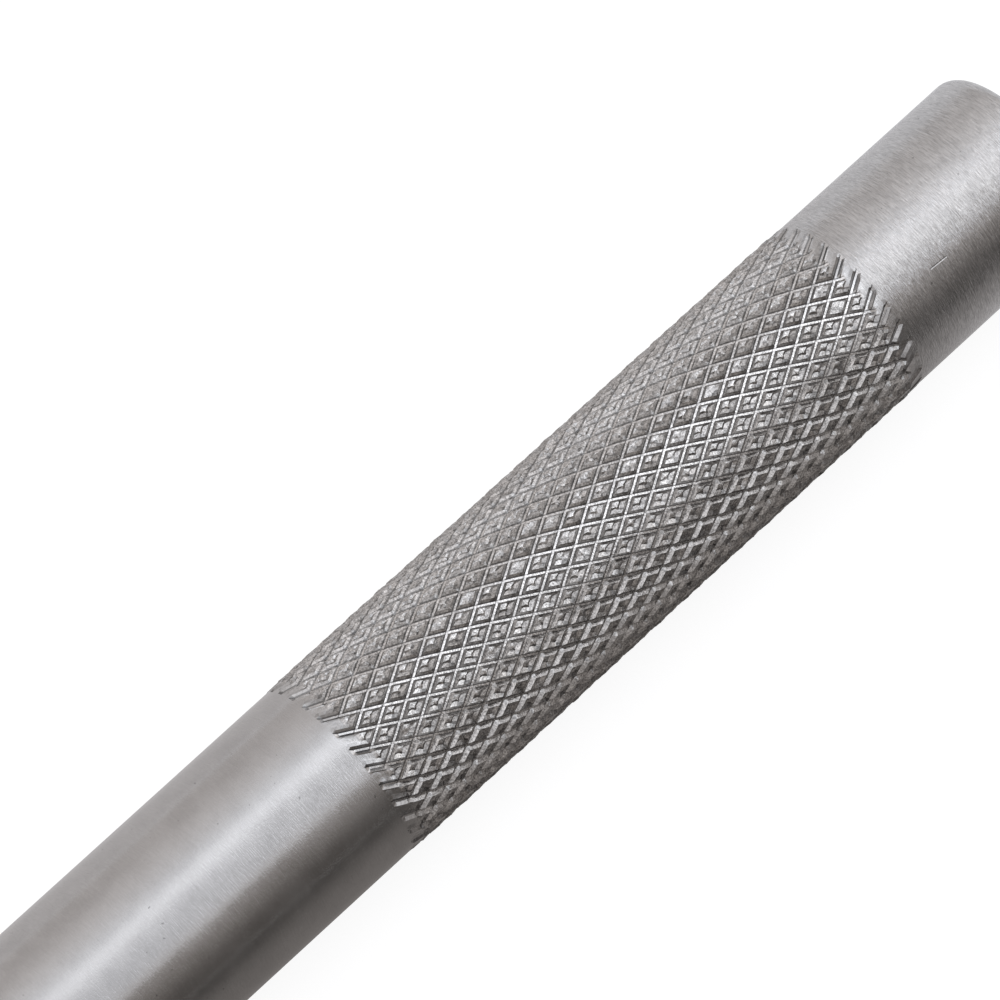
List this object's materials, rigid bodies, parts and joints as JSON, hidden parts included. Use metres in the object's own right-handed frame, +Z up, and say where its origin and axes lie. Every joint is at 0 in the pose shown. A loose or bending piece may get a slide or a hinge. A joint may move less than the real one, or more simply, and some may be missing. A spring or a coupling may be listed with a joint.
{
  "type": "leather hole punch",
  "caption": "Steel drive punch for leather: a knurled round handle struck with a mallet, and a screw-in hollow tube with a side window for waste plugs.",
  "frame": {"origin": "on the surface that the tool lies on, under the middle of its length", "axes": "+X along the tool's axis towards the strike face, +Z up, with the tube's window facing up"},
  "size_m": [0.1152, 0.0102, 0.0102],
  "materials": {
    "turned_steel": "turned and knurled, bare",
    "spring_steel": "dark spring temper, bare",
    "tool_steel": "finely turned, bare"
  },
  "bodies": {
    "handle": {"handle": "turned_steel"},
    "lock_washer": {"lock_washer": "spring_steel"},
    "punch_tube": {"punch_tube": "tool_steel"}
  },
  "joints": [
    {"name": "washer_slide", "type": "slide", "parent": "handle", "child": "lock_washer", "axis": [-1, 0, 0], "range_m": [0, 0.009]},
    {"name": "tube_turn", "type": "hinge", "parent": "lock_washer", "child": "punch_tube", "pos_m": [-0.0266, 0, 0.00509], "axis": [-1, 0, 0], "range_deg": [0, 3240]}
  ],
  "couplings": [
    {"joint": "washer_slide", "follows": "tube_turn", "m_per_rad": 0.00015915}
  ]
}
